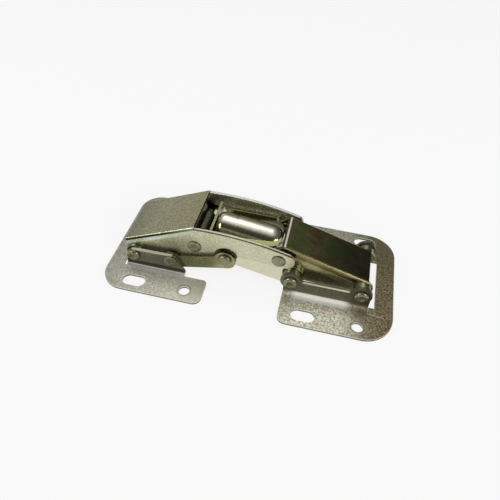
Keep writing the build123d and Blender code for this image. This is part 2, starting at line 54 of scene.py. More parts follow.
class Wave:
    # one shader socket that can be written in sums: each operator adds its Math node
    def __init__(self, paint, socket):
        self.paint = paint
        self.socket = socket

    def calc(self, operation, other=0.0, clamp=False):
        return self.paint.maths(operation, self, other, clamp)

    def __add__(self, other):
        return self.calc("ADD", other)

    def __radd__(self, other):
        return self.calc("ADD", other)

    def __sub__(self, other):
        return self.calc("SUBTRACT", other)

    def __rsub__(self, other):
        return self.paint.maths("SUBTRACT", other, self)

    def __mul__(self, other):
        return self.calc("MULTIPLY", other)

    def __rmul__(self, other):
        return self.calc("MULTIPLY", other)

    def __pow__(self, other):
        return self.calc("POWER", other)

    def __gt__(self, other):
        return self.calc("GREATER_THAN", other)

    def __lt__(self, other):
        return self.calc("LESS_THAN", other)

    def __abs__(self):
        return self.calc("ABSOLUTE")

    def atLeast(self, other):
        return self.calc("MAXIMUM", other)

    def clamped(self):
        return self.calc("ADD", 0.0, clamp=True)

    def ramp(self, low, high):
        # 0 below low, 1 above high, an S curve between
        node = self.paint.node(
            "ShaderNodeMapRange",
            {"interpolation_type": "SMOOTHSTEP"},
            {"Value": self, "From Min": low, "From Max": high, "To Min": 0.0, "To Max": 1.0},
        )
        return Wave(self.paint, node.outputs[0])


class Paint:
    # the nodes of one material or of the world
    def __init__(self, tree):
        self.tree = tree
        tree.nodes.clear()

    def node(self, kind, settings=None, values=None):
        made = self.tree.nodes.new(kind)
        for name, value in (settings or {}).items():
            setattr(made, name, value)
        for key, value in (values or {}).items():
            if isinstance(value, Wave):
                self.tree.links.new(value.socket, made.inputs[key])
            elif isinstance(value, bpy.types.NodeSocket):
                self.tree.links.new(value, made.inputs[key])
            else:
                made.inputs[key].default_value = value
        return made

    def maths(self, operation, first, second, clamp=False):
        settings = {"operation": operation, "use_clamp": clamp}
        made = self.node("ShaderNodeMath", settings, {0: first, 1: second})
        return Wave(self, made.outputs[0])

    def axes(self, space="Object"):
        # right, back and up
        place = self.node("ShaderNodeTexCoord").outputs[space]
        split = self.node("ShaderNodeSeparateXYZ", None, {0: place})
        return [Wave(self, socket) for socket in split.outputs]

    def noise(self, size, stretch=(1, 1, 1), detail=3.0, roughness=0.55, shift=0.0):
        # cloud noise with lumps of about size mm, longer along the axes that have a large stretch
        place = self.node("ShaderNodeTexCoord").outputs["Object"]
        scale = tuple(1 / (size * mm * longer) for longer in stretch)
        mapped = self.node(
            "ShaderNodeMapping", None, {"Vector": place, "Scale": scale, "Location": (shift, shift, shift)}
        )
        made = self.node(
            "ShaderNodeTexNoise", None,
            {"Vector": mapped.outputs[0], "Scale": 1.0, "Detail": detail, "Roughness": roughness},
        )
        return Wave(self, made.outputs["Fac"])

    def mix(self, factor, first, second):
        made = self.node("ShaderNodeMix", {"data_type": "RGBA"}, {"Factor": factor, 6: first, 7: second})
        return made.outputs[2]

    def bump(self, height, depth):
        return self.node("ShaderNodeBump", None, {"Height": height, "Distance": depth}).outputs[0]


def rgb(red, green, blue):
    # a colour as read on screen, 0 to 255, as the linear values that Blender takes: the sRGB curve
    parts = []
    for value in (red, green, blue):
        value = value / 255
        parts.append(value / 12.92 if value <= 0.04045 else ((value + 0.055) / 1.055) ** 2.4)
    return (*parts, 1.0)


def past(wave, low, high):
    # 0 before the first place in mm, 1 after the second, an S curve between
    return wave.ramp(low * mm, high * mm)


def band(wave, low, high, soft):
    # 1 between two places in mm, with soft ends
    return past(wave, low - soft, low + soft) * (1 - past(wave, high - soft, high + soft))


def reach(wave, mark):
    # how much of a mark shows: between two places, past one, before one, or as the wave itself says
    if "between" in mark:
        wave = band(wave, *mark["between"])
    if "past" in mark:
        wave = past(wave, *mark["past"])
    if "before" in mark:
        wave = 1 - past(wave, *mark["before"])
    return wave * mark["share"]


def belowLine(skin, first, second):
    # how far a place lies straight under the slanting line through two points (right, up) in mm
    fall = (second[1] - first[1]) / (second[0] - first[0])
    return (skin.right - first[0] * mm) * fall + first[1] * mm - skin.up


def circleThrough(first, second, third):
    # centre and radius of the circle through three places
    rows = np.array([second, third]) - np.array(first)
    centre = np.linalg.solve(rows, (np.array([second, third]) ** 2 - np.array(first) ** 2).sum(axis=1) / 2)
    return centre.tolist(), float(np.hypot(*(np.array(first) - centre)))


shearedSteel = {"metalLoss": 0.75, "rougher": 0.15}


class Skin:
    # what a finish gives to the shader before its local marks are laid over it
    def __init__(self, paint, tint, metal, rough):
        self.paint = paint
        self.right, self.back, self.up = paint.axes()
        self.side = abs(self.back)
        self.tint = tint
        self.metal = metal
        self.rough = rough

    def stain(self, wave, mark, where=1.0):
        shown = (reach(wave, mark) * where).clamped()
        self.tint = self.paint.mix(shown, self.tint, mark["colour"])
        return shown

    def bareAndSheen(self, wave, mark, where=1.0):
        # a sheared edge scatters more light than the plated face beside it; the pale colour laid with it is
        # in part a painted highlight, and on the channel's bend wholly a painted highlight
        shown = self.stain(wave, mark, where)
        self.metal = self.metal * (1 - shown * shearedSteel["metalLoss"])
        self.rough = self.rough + shown * shearedSteel["rougher"]


# In the marks below, places are in mm: "between" has both ends and their softness, "past" and "before"
# have where the mark starts and ends its rise or fall, "share" is its strength, and levels are of noise.

plateEdge = {
    "under": {"before": (0.35, 0.55), "share": 1.0, "colour": rgb(70, 68, 52)},
    "shearedSheen": {"between": (0.62, 0.93, 0.06), "share": 0.8, "colour": rgb(226, 226, 214)},
    "ear": {"past": (1.2, 2), "share": 0.85, "colour": rgb(70, 68, 46)},
    "earFoot": {"between": (1.05, 2.2, 0.1), "share": 0.22},
}


def plateMarks(skin):
    # painted shade darkens the underside and the lower part of the sheared rim, whose upper part is pale,
    # partly bare steel and partly a painted highlight; painted shade darkens the ears, dull where they leave
    # the plate
    skin.stain(skin.up, plateEdge["under"])
    skin.bareAndSheen(skin.up, plateEdge["shearedSheen"])
    skin.stain(skin.up, plateEdge["ear"])
    skin.rough = skin.rough + reach(skin.up, plateEdge["earFoot"])


holeRim = {
    "radius": 1.75,
    "dark": {"between": (0.1, 0.5, 0.12), "share": 0.45, "colour": rgb(92, 88, 66)},
    "pale": {"between": (0.6, 0.8, 0.1), "share": 0.35, "colour": rgb(228, 228, 214)},
}


def ringMarks(skin, places):
    # round each pierced hole a faint ring of painted shade and outside it a pale ring of painted highlight
    for right, back in places:
        away = ((skin.right - right * mm) ** 2 + (skin.back - back * mm) ** 2) ** 0.5 - holeRim["radius"] * mm
        skin.stain(away, holeRim["dark"])
        skin.stain(away, holeRim["pale"])


cabinet = {
    "leftRim": {"before": (-43, -35), "share": 0.35, "colour": rgb(110, 112, 96)},
    "rightEnd": {"past": (-28, -18), "share": 0.35, "colour": rgb(250, 248, 226)},
    "bend": {"between": (11.2, 13.4, 0.4), "share": 0.5, "colour": rgb(250, 250, 238)},
    "bendReach": (-38, -16, 1.5), "plateTop": 1.15,
    "earFoot": {"between": (1.1, 2.8, 0.1), "share": 0.9, "colour": rgb(34, 32, 22)},
    "farFootShade": {"past": (8, 18), "share": 0.35, "colour": rgb(104, 106, 82)},
    "earTop": {"between": (-0.09, 0.2, 0.04), "share": 0.8, "colour": rgb(226, 224, 200)},
    "earTopAt": (-36.5, 7.4), "earTopRise": 0.025, "earFace": 10.35,
    "holes": [(-18.25, -17.9), (-34.45, 17.9)],
}


def cabinetMarks(skin):
    # painted shade greys the left rim and painted light pales the right end of the foot; a painted highlight
    # lies on the bend before the ear, painted shade makes the ear's foot nearly black and the far foot
    # darker, and a bright line along the ear's slanting top edge is partly bare steel and partly a painted
    # highlight
    skin.stain(skin.right, cabinet["leftRim"])
    skin.stain(skin.right, cabinet["rightEnd"])
    plateMarks(skin)
    onPlate = skin.up < cabinet["plateTop"] * mm
    skin.stain(skin.side, cabinet["bend"], band(skin.right, *cabinet["bendReach"]) * onPlate)
    skin.stain(skin.up, cabinet["earFoot"])
    skin.stain(skin.back, cabinet["farFootShade"])
    right, up = cabinet["earTopAt"]
    rise = skin.up - up * mm - (skin.right - right * mm) * cabinet["earTopRise"]
    skin.bareAndSheen(rise, cabinet["earTop"], skin.side > cabinet["earFace"] * mm)
    ringMarks(skin, cabinet["holes"])


door = {
    "cloud": {"size": 2.5, "detail": 4.0, "roughness": 0.65, "shift": 5.3},
    "fleck": {"size": 0.6, "detail": 3.0, "roughness": 0.75, "shift": 9.2},
    "fleckLevels": (0.4, 0.6), "turnsBrown": (28, 41), "sway": 9,  # the cloud sways where it turns brown
    "brown": {"share": 0.85, "colour": rgb(108, 96, 56)},
    "farBrown": {"past": (0, 10), "share": 0.5, "colour": rgb(84, 84, 60)},
    "darkFleck": {"share": 0.85, "colour": rgb(64, 42, 26)},
    "paleFleck": {"share": 0.3, "colour": rgb(172, 156, 108)},
    "farFootShade": {"past": (8, 16), "share": 0.5, "colour": rgb(92, 92, 68)},
    "scratch": {"before": (0.03, 0.12), "share": 0.7, "colour": rgb(226, 222, 204)},
    "scratchAt": (40, -12.6), "scratchTurn": 0.1, "scratchReach": (37, 42, 0.3),
    "bend": {"between": (10.1, 12.4, 0.4), "share": 0.9, "colour": rgb(255, 255, 244)},
    "bendReach": (14, 31, 1.5), "plateTop": 2.1,
    "earTop": {"between": (6.4, 6.6, 0.03), "share": 0.9, "colour": rgb(236, 234, 210)},
    "earTopReach": (16.6, 30.6, 0.2), "earFace": 9.75,
    "holes": [(34.55, -17.9), (18.35, 17.9)],
}


def doorMarks(skin):
    # the passivate turns brown and flecked towards the outer rim, one scratch crosses the near corner,
    # painted shade darkens the far foot, the bend before the ear has a painted highlight, and a bright line,
    # partly bare steel and partly a painted highlight, runs along the ear's low top edge
    cloud = skin.paint.noise(**door["cloud"])
    fleck = skin.paint.noise(**door["fleck"]).ramp(*door["fleckLevels"])
    brown = past(skin.right + (cloud - 0.5) * (door["sway"] * mm), *door["turnsBrown"])
    skin.stain(brown, door["brown"])
    skin.stain(skin.back, door["farBrown"], brown)
    skin.stain(fleck, door["darkFleck"], brown)
    skin.stain(1 - fleck, door["paleFleck"], brown)
    skin.stain(skin.back, door["farFootShade"])
    right, back = door["scratchAt"]
    away = abs(skin.back - back * mm + (skin.right - right * mm) * door["scratchTurn"])
    skin.stain(away, door["scratch"], band(skin.right, *door["scratchReach"]))
    plateMarks(skin)
    ringMarks(skin, door["holes"])
    onPlate = skin.up < door["plateTop"] * mm
    skin.stain(skin.side, door["bend"], band(skin.right, *door["bendReach"]) * onPlate)
    onEar = band(skin.right, *door["earTopReach"]) * (skin.side > door["earFace"] * mm)
    skin.bareAndSheen(skin.up, door["earTop"], onEar)


cover = {
    "leftEnd": (-39.6, 9.45), "ridge": (-17.4, 19.5), "outside": 8.5,
    "pale": {"between": (1.15, 2.5, 0.3), "share": 0.6, "colour": rgb(232, 246, 232)},
    "paleLeft": 1.4, "paleFade": (-34, -18),  # the pale band is stronger at the left
    "fade": {"past": (2.2, 5.2), "share": 0.45, "colour": rgb(126, 124, 98)},
    "leftEndShade": {"before": (-40, -30), "share": 0.4, "colour": rgb(104, 106, 76)},
    "foldLine": {"between": (0.3, 1.05, 0.1), "share": 1.0, "colour": rgb(40, 38, 28)},
    "sidePale": {"past": (-28, -14), "share": 0.3, "colour": rgb(232, 234, 208)},
    "topCast": {"past": (-36, -18), "share": 0.3, "colour": rgb(176, 164, 104)},
    "cutEndShade": {"before": (8.15, 8.2), "share": 0.97, "colour": rgb(28, 33, 17)},
    "wallTop": ((-17.4, 18.7), (-2.0, 18.2), (10.878, 15.534)), "edgeDepth": 0.05,
    "farEdge": {"between": (8.3, 9.05, 0.04), "share": 1.0, "colour": rgb(236, 238, 226)},
    "nearEdge": {"between": (8.25, 8.7, 0.05), "share": 0.8, "colour": rgb(226, 226, 206)},
    "roll": {"share": 0.85, "colour": rgb(40, 40, 28)},
    "rollAcross": (8.75, 8.9), "wallFace": 9.15, "rollDown": (0.1, 0.3),
}


def coverMarks(skin):
    # below the fold of the cover a painted shade line, a pale band of painted reflection and painted shade
    # fading in lower down, and the outer faces have painted light towards the right; the top has painted
    # shade at the left end and is yellower at the right, and the cut end of the sheet is nearly black with
    # painted shade; on the walls a bright sheared top edge, partly a painted highlight, and on the near one a
    # painted dark reflection on the roll-over outside it
    below = belowLine(skin, cover["leftEnd"], cover["ridge"])
    onCover = skin.right < cover["ridge"][0] * mm
    onWall = 1 - onCover
    outside = skin.side > cover["outside"] * mm
    coverSide = onCover * outside
    skin.stain(below, cover["pale"], coverSide * (cover["paleLeft"] - past(skin.right, *cover["paleFade"])))
    skin.stain(below, cover["fade"], coverSide)
    skin.stain(skin.right, cover["leftEndShade"], 1 - outside)
    skin.stain(below, cover["foldLine"], coverSide)
    skin.stain(skin.right, cover["sidePale"], outside)
    skin.stain(skin.right, cover["topCast"], (1 - outside) * onCover)
    skin.stain(skin.side, cover["cutEndShade"], onWall)
    (right, up), radius = circleThrough(*cover["wallTop"])
    depth = radius * mm - ((skin.right - right * mm) ** 2 + (skin.up - up * mm) ** 2) ** 0.5
    near = skin.back < 0
    onEdge = onWall * (depth < cover["edgeDepth"] * mm)
    skin.bareAndSheen(skin.side, cover["farEdge"], onEdge * (1 - near))
    skin.bareAndSheen(skin.side, cover["nearEdge"], onEdge * near)
    rollTop = onEdge * near * past(skin.side, *cover["rollAcross"])
    rollSide = onWall * (skin.side > cover["wallFace"] * mm) * (1 - past(depth, *cover["rollDown"]))
    skin.stain(rollTop + rollSide, cover["roll"])


channel = {
    "topFront": (9.6, 16.56), "topRight": (35.7, 8.53), "topHalf": 6.15,
    "cast": {"size": 5, "stretch": (1.6, 1, 1), "detail": 2.0, "shift": 11.0},
    "greenLevels": (0.42, 0.62), "brownLevels": (0.36, 0.5),
    "green": {"share": 0.6, "colour": rgb(96, 124, 62)},
    "brown": {"share": 0.6, "colour": rgb(120, 82, 56)},
    "rightEnd": {"past": (16, 30), "share": 0.6, "colour": rgb(50, 60, 58)},
    "flank": {"past": (2.4, 2.9), "share": 0.5, "colour": rgb(214, 210, 166)},
    "flankFoot": {"past": (3.4, 5.4), "share": 0.6, "colour": rgb(72, 72, 50)},
    "bend": {"between": (0.6, 2.2, 0.2), "share": 0.7, "colour": rgb(128, 112, 76)},
    "bendTop": {"between": (0.2, 0.4, 0.08), "share": 0.5, "colour": rgb(206, 190, 150)},
    "bendFoot": {"between": (2.35, 2.55, 0.08), "share": 0.5, "colour": rgb(222, 218, 184)},
    "frontHalf": 6.6, "frontEnd": (9.75, 9.9), "edgeDepth": 0.35, "underEdge": 0.4,  # the cut end
    "frontEdge": {"share": 1.0, "colour": rgb(236, 236, 222)},
    "frontShade": {"share": 0.8, "colour": rgb(60, 62, 44)},
}


def channelMarks(skin):
    # green and brown cast on the top, and painted shade makes it nearly black towards the door; the flank has
    # painted light above and painted shade below; the bend has a tan painted reflection between two painted
    # highlight lines; the cut end at the front is bright along its top, partly bare steel and partly a
    # painted highlight, with painted shade under it
    below = belowLine(skin, channel["topFront"], channel["topRight"])
    onTop = skin.side < channel["topHalf"] * mm
    onFlank = 1 - onTop
    cast = skin.paint.noise(**channel["cast"])
    skin.stain(cast.ramp(*channel["greenLevels"]), channel["green"], onTop)
    skin.stain(1 - cast.ramp(*channel["brownLevels"]), channel["brown"], onTop)
    skin.stain(skin.right, channel["rightEnd"], onTop)
    skin.stain(below, channel["flank"], onFlank)
    skin.stain(below, channel["flankFoot"], onFlank)
    skin.stain(below, channel["bend"], onFlank)
    skin.bareAndSheen(below, channel["bendTop"], onFlank)
    skin.bareAndSheen(below, channel["bendFoot"], onFlank)
    front = (skin.side < channel["frontHalf"] * mm) * (1 - past(skin.right, *channel["frontEnd"]))
    skin.bareAndSheen(below < channel["edgeDepth"] * mm, channel["frontEdge"], front)
    skin.stain(below > channel["underEdge"] * mm, channel["frontShade"], front)


link = {
    "leftEnd": {"before": (-22, -8), "share": 0.55, "colour": rgb(92, 94, 70)},
    "edge": {"between": (9.3, 10.22, 0.02), "share": 0.9, "colour": rgb(30, 30, 22)},
}


def linkMarks(skin):
    # painted shade darkens the face towards the cabinet and the sheared edges
    skin.stain(skin.right, link["leftEnd"])
    skin.stain(skin.side, link["edge"])


lever = {
    "tunnelEnd": 3.6, "webAway": (4.7, 12, 0.12), "webHeight": (14.5, 14.66, 0.03),  # from the tunnel, or up
    "webHalf": 6.95, "webStart": (-10.5, -7.5), "tunnelHalf": 5.6, "flangeFace": 7.9,
    "flank": {"past": (1.2, 3.4), "share": 0.6, "colour": rgb(158, 150, 96)},
    "farWebShade": {"share": 0.85, "colour": rgb(82, 84, 56)},
    "nearWebShade": {"share": 0.75, "colour": rgb(150, 150, 98)},
    "flange": {"share": 0.7, "colour": rgb(200, 198, 168)},
    "leftEnd": {"before": (-16, -15), "share": 0.9, "colour": rgb(36, 38, 26)},
}


def leverMarks(skin):
    # olive on the tunnel's flanks, the crest left pale for a painted highlight; painted shade on the web
    # round it, as from the walls; the flanges' outer faces take a greyer tint, and painted shade darkens the
    # end under the cover
    pastEnd = (skin.right - lever["tunnelEnd"] * mm).atLeast(0.0)
    away = (pastEnd ** 2 + skin.back ** 2) ** 0.5
    web = band(away, *lever["webAway"]) + band(skin.up, *lever["webHeight"])
    web = web * (skin.side < lever["webHalf"] * mm) * past(skin.right, *lever["webStart"])
    near = skin.back < 0
    skin.stain(skin.side, lever["flank"], skin.side < lever["tunnelHalf"] * mm)
    skin.stain(web, lever["farWebShade"], 1 - near)
    skin.stain(web, lever["nearWebShade"], near)
    skin.stain(skin.side > lever["flangeFace"] * mm, lever["flange"])
    skin.stain(skin.right, lever["leftEnd"])


rivetHead = {
    "inside": {"before": (6.4, 7), "share": 0.8, "colour": rgb(46, 46, 34)},
    "foot": {"between": (0, 0.26, 0.04), "share": 0.9, "colour": rgb(30, 28, 18)},
    "seats": (9.2, 10.3), "cabinetSeat": 11.4, "cabinetEars": -20,
}


def rivetMarks(skin):
    # painted shade between the channels, and painted shade round the foot of each head, where it meets the
    # sheet; heads sit on the outer layer only on the cabinet's side
    skin.stain(skin.side, rivetHead["inside"])
    for seat in rivetHead["seats"]:
        skin.stain(skin.side - seat * mm, rivetHead["foot"])
    onEars = skin.right < rivetHead["cabinetEars"] * mm
    skin.stain(skin.side - rivetHead["cabinetSeat"] * mm, rivetHead["foot"], onEars)


# zinc plate with a yellow passivate: each finish says its tints, its speckle in mm, how sharply it
# mirrors and how deep its dents are in mm
platings = {
    "cabinetPlate": {
        "light": rgb(220, 222, 210), "dark": rgb(148, 146, 124), "stain": rgb(186, 168, 140), "speck": 0.6,
        "contrast": 0.8, "roughness": 0.33, "metal": 0.45, "dent": 0.02, "marks": cabinetMarks,
    },
    "doorPlate": {
        "light": rgb(240, 242, 222), "dark": rgb(146, 142, 112), "stain": rgb(190, 168, 142), "speck": 0.6,
        "contrast": 1.0, "roughness": 0.34, "metal": 0.45, "dent": 0.025, "marks": doorMarks,
    },
    "coverSteel": {
        "light": rgb(204, 206, 176), "dark": rgb(142, 140, 104), "stain": rgb(172, 152, 114), "speck": 0.7,
        "contrast": 0.8, "roughness": 0.3, "metal": 0.85, "dent": 0.015, "marks": coverMarks,
    },
    "channelSteel": {
        "light": rgb(166, 162, 110), "dark": rgb(84, 84, 54), "stain": rgb(112, 80, 48), "speck": 0.6,
        "contrast": 0.6, "roughness": 0.24, "metal": 1.0, "dent": 0.012, "marks": channelMarks,
    },
    "leverSteel": {
        "light": rgb(240, 240, 226), "dark": rgb(206, 204, 168), "stain": rgb(206, 196, 150), "speck": 0.8,
        "contrast": 0.5, "roughness": 0.13, "metal": 1.0, "dent": 0.008, "marks": leverMarks,
    },
    "linkSteel": {
        "light": rgb(164, 164, 122), "dark": rgb(104, 102, 72), "stain": rgb(120, 104, 74), "speck": 0.5,
        "contrast": 0.6, "roughness": 0.28, "metal": 0.8, "dent": 0.012, "marks": linkMarks,
    },
    "rivetSteel": {
        "light": rgb(150, 150, 120), "dark": rgb(92, 90, 66), "stain": rgb(104, 92, 66), "speck": 0.6,
        "contrast": 0.6, "roughness": 0.26, "metal": 0.9, "dent": 0.012, "marks": rivetMarks,
    },
    "springWire": {
        "light": rgb(196, 196, 190), "dark": rgb(140, 138, 130), "stain": rgb(160, 156, 140), "speck": 0.5,
        "contrast": 0.3, "roughness": 0.2, "metal": 1.0, "dent": 0.004,
    },
}
grain = {
    "speck": {"detail": 3.0, "roughness": 0.7, "shift": 3.1}, "speckLevels": (0.36, 0.66),
    "cloud": {"size": 2.4, "detail": 3.0, "shift": 1.7}, "cloudLevels": (0.35, 0.7), "cloudShare": 0.35,
    "streaks": {"size": 0.4, "stretch": (8, 1, 1), "detail": 2.0, "shift": 7.7},
    "speckRough": 0.08, "streakRough": 0.1, "speckHeight": 0.7, "streakHeight": 0.3,
}


def plating(name):
    # the light tint is darkened by specks and clouded by the stain, then the piece's marks, stains and
    # painted light and shade, go over it
    look = platings[name]
    material = bpy.data.materials.new(name)
    material.use_nodes = True
    paint = Paint(material.node_tree)
    speck = paint.noise(look["speck"], **grain["speck"]).ramp(*grain["speckLevels"])
    cloud = paint.noise(**grain["cloud"]).ramp(*grain["cloudLevels"])
    streaks = paint.noise(**grain["streaks"])
    tint = paint.mix(speck * look["contrast"], look["light"], look["dark"])
    tint = paint.mix(cloud * grain["cloudShare"], tint, look["stain"])
    rough = look["roughness"] + (speck - 0.5) * grain["speckRough"] + (streaks - 0.5) * grain["streakRough"]
    skin = Skin(paint, tint, look["metal"], rough)
    if "marks" in look:
        look["marks"](skin)
    dents = speck * grain["speckHeight"] + streaks * grain["streakHeight"]
    shader = paint.node("ShaderNodeBsdfPrincipled", None, {
        "Base Color": skin.tint, "Metallic": skin.metal, "Roughness": skin.rough.clamped(),
        "Normal": paint.bump(dents, look["dent"] * mm),
    })
    paint.node("ShaderNodeOutputMaterial", None, {"Surface": shader.outputs[0]})
    return material


# the finish of a node, by the start of its name; all others are of the rivets' steel
finishOf = {
    "cabinet_plate": "cabinetPlate",
    "door_plate": "doorPlate",
    "outer_channel": "coverSteel",
    "inner_channel": "channelSteel",
    "spring_lever": "leverSteel",
    "spring_cup": "leverSteel",
    "pressure_plate": "linkSteel",
    "side_link": "linkSteel",
    "coil_spring": "springWire",
}
finishes = {name: plating(name) for name in platings}


def finishFor(nodeName):
    for start, finish in finishOf.items():
        if nodeName.startswith(start):
            return finishes[finish]
    return finishes["rivetSteel"]


for nodeName, piece in frame["nodes"].items():
    piece.data.materials.clear()
    piece.data.materials.append(finishFor(nodeName))
print("plating on every node")


# lengths in mm; a seat is how far from the middle plane a head starts, and a tail where a rivet starts
pins = {
    "segments": 72, "shank": 1.35, "head": 2.1, "peened": 1.8, "peenedHeight": 0.5, "collar": 2.0,
    "lip": 0.3, "domeTurn": 74, "domePower": 0.55, "domeSteps": 14,
    "dimpleDepth": 0.16, "dimpleStart": 0.15, "dimpleShrink": 0.9, "dimpleSteps": 7,
    "corner": 0.04, "cornerShare": 0.25,
}
turnedPins = {
    "arm_root_pin": {"seat": 11.4, "height": 1.2},
    "lever_root_pin": {"seat": 9.2, "height": 0.5},
    "lever_tip_pin": {"seat": 10.35, "height": 1.2},
    "channel_tip_pin": {"seat": 10.3, "height": 1.2},
}
rivets = {
    "link_root_rivet": {"tail": 9.3, "seat": 11.4, "height": 0.5},
    "link_tip_rivet": {"tail": 6.45, "seat": 10.3, "height": 1.2, "foot": 7.05, "collar": (8.15, 9.3)},
    "knee_rivet": {"tail": 5.35, "seat": 9.2, "height": 0.5, "foot": 5.95, "collar": (7.05, 8.2)},
}


def turnedMesh(name, profile, pivot):
    # ring i, step j = pivot + (r[i] sin a[j], y[i], r[i] cos a[j]): a profile of (y, r) turned about Y
    segments = pins["segments"]
    along, radius = profile.T
    angle = np.linspace(0, 2 * np.pi, segments, endpoint=False)
    x = pivot[0] + radius[:, None] * np.sin(angle)
    y = np.repeat(along[:, None], segments, axis=1)
    z = pivot[1] + radius[:, None] * np.cos(angle)
    ends = np.array([(pivot[0], along[0], pivot[1]), (pivot[0], along[-1], pivot[1])])
    verts = np.vstack([np.stack([x, y, z], axis=-1).reshape(-1, 3), ends])
    step = np.arange(segments)
    after = (step + 1) % segments
    ring = np.arange(len(along) - 1)[:, None] * segments
    following = ring + segments
    quads = np.stack([ring + step, ring + after, following + after, following + step], axis=-1)
    last = (len(along) - 1) * segments
    startCap = np.stack([step * 0 + len(verts) - 2, after, step], axis=-1)
    endCap = np.stack([step * 0 + len(verts) - 1, last + step, last + after], axis=-1)
    faces = quads.reshape(-1, 4).tolist() + startCap.tolist() + endCap.tolist()
    mesh = bpy.data.meshes.new(name)
    mesh.from_pydata(verts.tolist(), [], faces)
    mesh.polygons.foreach_set("use_smooth", np.ones(len(faces), dtype=bool))
    return mesh


def crown(seat, height, radius):
    # half a head's profile from its seat: a straight lip, a dome that rises with the sine of a turn and
    # narrows with a power of its cosine, then a dimple that narrows with the square of its depth
    lip = height * pins["lip"]
    turn = np.linspace(0, np.radians(pins["domeTurn"]), pins["domeSteps"])
    dome = np.column_stack([
        seat + lip + (height - lip) * np.sin(turn),
        radius * np.cos(turn) ** pins["domePower"],
    ])
    top, rim = dome[-1]
    inward = np.linspace(pins["dimpleStart"], 1, pins["dimpleSteps"])
    dish = np.column_stack([
        top - pins["dimpleDepth"] * min(1, height) * inward,
        rim * (1 - inward ** 2 * pins["dimpleShrink"]),
    ])
    return np.vstack([(seat, radius), dome, dish])


def flipped(profile):
    # the profile mirrored in the middle plane, its order turned so that its faces still point out
    return profile[::-1] * (-1, 1)


def pinProfile(pin):
    # the near head, the shank, and the far end peened flatter and narrower
    near = crown(pin["seat"], pin["height"], pins["head"])
    far = crown(pin["seat"], pins["peenedHeight"], pins["peened"])
    return np.vstack([flipped(near), (-pin["seat"], pins["shank"]), (pin["seat"], pins["shank"]), far])


def rivetProfile(rivet):
    # from the middle outwards: the tail with its inner head, the shank, a collar and the outer head
    shank = pins["shank"]
    steps = [(rivet["tail"], shank)]
    if "foot" in rivet:
        steps = [(rivet["tail"], pins["head"]), (rivet["foot"], pins["head"]), (rivet["foot"], shank)]
    if "collar" in rivet:
        start, end = rivet["collar"]
        steps += [(start, shank), (start, pins["collar"]), (end, pins["collar"]), (end, shank)]
    return np.vstack([steps, (rivet["seat"], shank), crown(rivet["seat"], rivet["height"], pins["head"])])


def soften(points):
    # each corner of the profile is doubled close by, so that smooth shading stays on its own face
    steps = np.diff(points, axis=0)
    length = np.maximum(np.hypot(*steps.T), 1e-9)
    inset = np.minimum(pins["corner"], length * pins["cornerShare"])[:, None] * steps / length[:, None]
    pairs = np.stack([points[:-1] + inset, points[1:] - inset], axis=1).reshape(-1, 2)
    return np.vstack([points[:1], pairs, points[-1:]]) * mm


bodyOf = {node: name for name, nodes in frame["record"]["behaviour"]["bodies"].items() for node in nodes}


def addPin(node, profile):
    # the turned piece stands in the middle of the node's box and takes its place
    low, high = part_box(node)
    pivot = ((low[0] + high[0]) / 2, (low[2] + high[2]) / 2)
    mesh = turnedMesh(node + "Turned", soften(profile), pivot)
    mesh.materials.append(finishes["rivetSteel"])
    piece = bpy.data.objects.new(node + "Turned", mesh)
    scene.collection.objects.link(piece)
    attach(piece, bodyOf[node])
    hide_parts(node)


for node, pin in turnedPins.items():
    addPin(node, pinProfile(pin))
for start, rivet in rivets.items():
    profile = rivetProfile(rivet)
    addPin(start + "_far", profile)
    addPin(start + "_near", flipped(profile))
print("pins and rivets turned")

# size in metres; the places under the channels, where the glow is masked for a painted shadow, are in mm
floorLook = {
    "size": 3.0, "colour": (0.85, 0.85, 0.84, 1.0), "glow": 0.86,
    "underRight": (-30, 15, 1.5), "underBack": (1.5, 20, 1.5), "underShare": 0.9,
}


def floorPaint():
    # seen and mirrored, the floor is part lit and part glowing, so it stays white and keeps the shadow;
    # under the channels, where only gaps show it, it hardly glows: a painted shadow of the hinge
    material = bpy.data.materials.new("paleFloor")
    material.use_nodes = True
    paint = Paint(material.node_tree)
    path = paint.node("ShaderNodeLightPath")
    matte = paint.node("ShaderNodeBsdfDiffuse", None, {"Color": floorLook["colour"]})
    glow = paint.node("ShaderNodeEmission", None, {"Color": (1, 1, 1, 1), "Strength": 1.0})
    seen = Wave(paint, path.outputs["Is Camera Ray"]) + Wave(paint, path.outputs["Is Glossy Ray"])
    right, back, up = paint.axes()
    under = band(right, *floorLook["underRight"]) * band(back, *floorLook["underBack"])
    seen = seen.clamped() * (1 - under * floorLook["underShare"]) * floorLook["glow"]
    mixed = paint.node("ShaderNodeMixShader", None, {0: seen, 1: matte.outputs[0], 2: glow.outputs[0]})
    paint.node("ShaderNodeOutputMaterial", None, {"Surface": mixed.outputs[0]})
    return material


def makeFloor():
    # a square round the middle, at the height of the seats
    half = floorLook["size"] / 2
    corners = np.array([(-half, -half, 0), (half, -half, 0), (half, half, 0), (-half, half, 0)])
    mesh = bpy.data.meshes.new("floor")
    mesh.from_pydata(corners.tolist(), [], [(0, 1, 2, 3)])
    mesh.materials.append(floorPaint())
    floor = bpy.data.objects.new("floor", mesh)
    scene.collection.objects.link(floor)


makeFloor()
print("floor laid")

